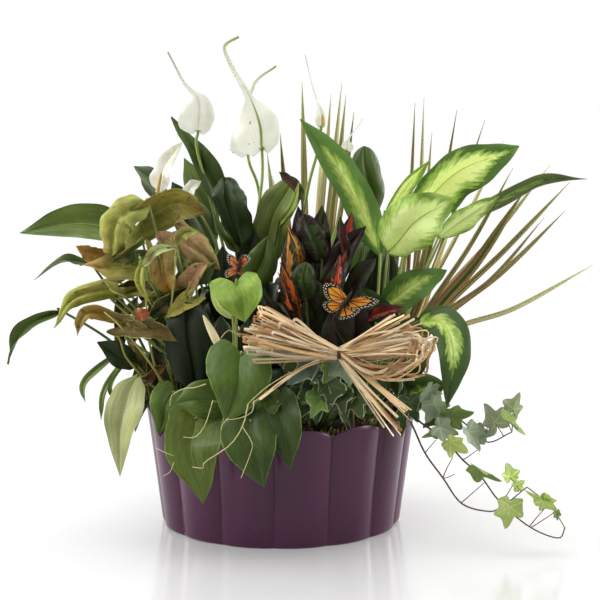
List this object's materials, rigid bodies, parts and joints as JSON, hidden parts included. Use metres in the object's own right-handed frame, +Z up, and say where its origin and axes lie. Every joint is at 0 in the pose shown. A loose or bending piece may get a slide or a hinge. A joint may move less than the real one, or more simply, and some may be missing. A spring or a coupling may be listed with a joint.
{
  "type": "mixed foliage dish garden planter",
  "caption": "Scalloped metal pot of mixed foliage plants and peace lilies, with trailing ivy, a raffia bow and butterfly picks.",
  "frame": {"origin": "centre of the pot's flat underside", "axes": "+Z up, +X to the right seen from the front, -Y towards the viewer at the front"},
  "size_m": [0.587, 0.3515, 0.4854],
  "materials": {
    "pot": "satin",
    "soil": "matte",
    "peace_lily": "satin",
    "peace_lily_left": "satin",
    "peace_lily_low": "satin",
    "peace_lily_right": "satin",
    "arrowhead_vine": "satin",
    "heartleaf_vine": "satin",
    "heartleaf_vine_back": "satin",
    "croton": "satin",
    "dumb_cane": "satin",
    "dragon_plant_right": "satin",
    "dragon_plant_mid": "satin",
    "ivy_centre": "satin",
    "ivy_trailing": "satin",
    "raffia_bow": "matte",
    "butterfly_right_wings": "matte",
    "butterfly_right_body": "matte",
    "butterfly_left_wings": "matte",
    "butterfly_left_body": "matte",
    "lily_spathe_1": "satin",
    "lily_spathe_2": "satin",
    "lily_spathe_3": "satin",
    "lily_spathe_4": "satin",
    "lily_spathe_5": "satin",
    "lily_spathe_6": "satin",
    "lily_spathe_7": "satin",
    "lily_spadix_4": "matte",
    "lily_spadix_5": "matte"
  },
  "bodies": {
    "root": {"pot": "pot", "soil": "soil", "peace_lily": "peace_lily", "peace_lily_left": "peace_lily_left", "peace_lily_low": "peace_lily_low", "peace_lily_right": "peace_lily_right", "arrowhead_vine": "arrowhead_vine", "heartleaf_vine": "heartleaf_vine", "heartleaf_vine_back": "heartleaf_vine_back", "croton": "croton", "dumb_cane": "dumb_cane", "dragon_plant_right": "dragon_plant_right", "dragon_plant_mid": "dragon_plant_mid", "ivy_centre": "ivy_centre", "ivy_trailing": "ivy_trailing", "raffia_bow": "raffia_bow", "butterfly_right_wings": "butterfly_right_wings", "butterfly_right_body": "butterfly_right_body", "butterfly_left_wings": "butterfly_left_wings", "butterfly_left_body": "butterfly_left_body", "lily_spathe_1": "lily_spathe_1", "lily_spathe_2": "lily_spathe_2", "lily_spathe_3": "lily_spathe_3", "lily_spathe_4": "lily_spathe_4", "lily_spathe_5": "lily_spathe_5", "lily_spathe_6": "lily_spathe_6", "lily_spathe_7": "lily_spathe_7", "lily_spadix_4": "lily_spadix_4", "lily_spadix_5": "lily_spadix_5"}
  },
  "joints": []
}
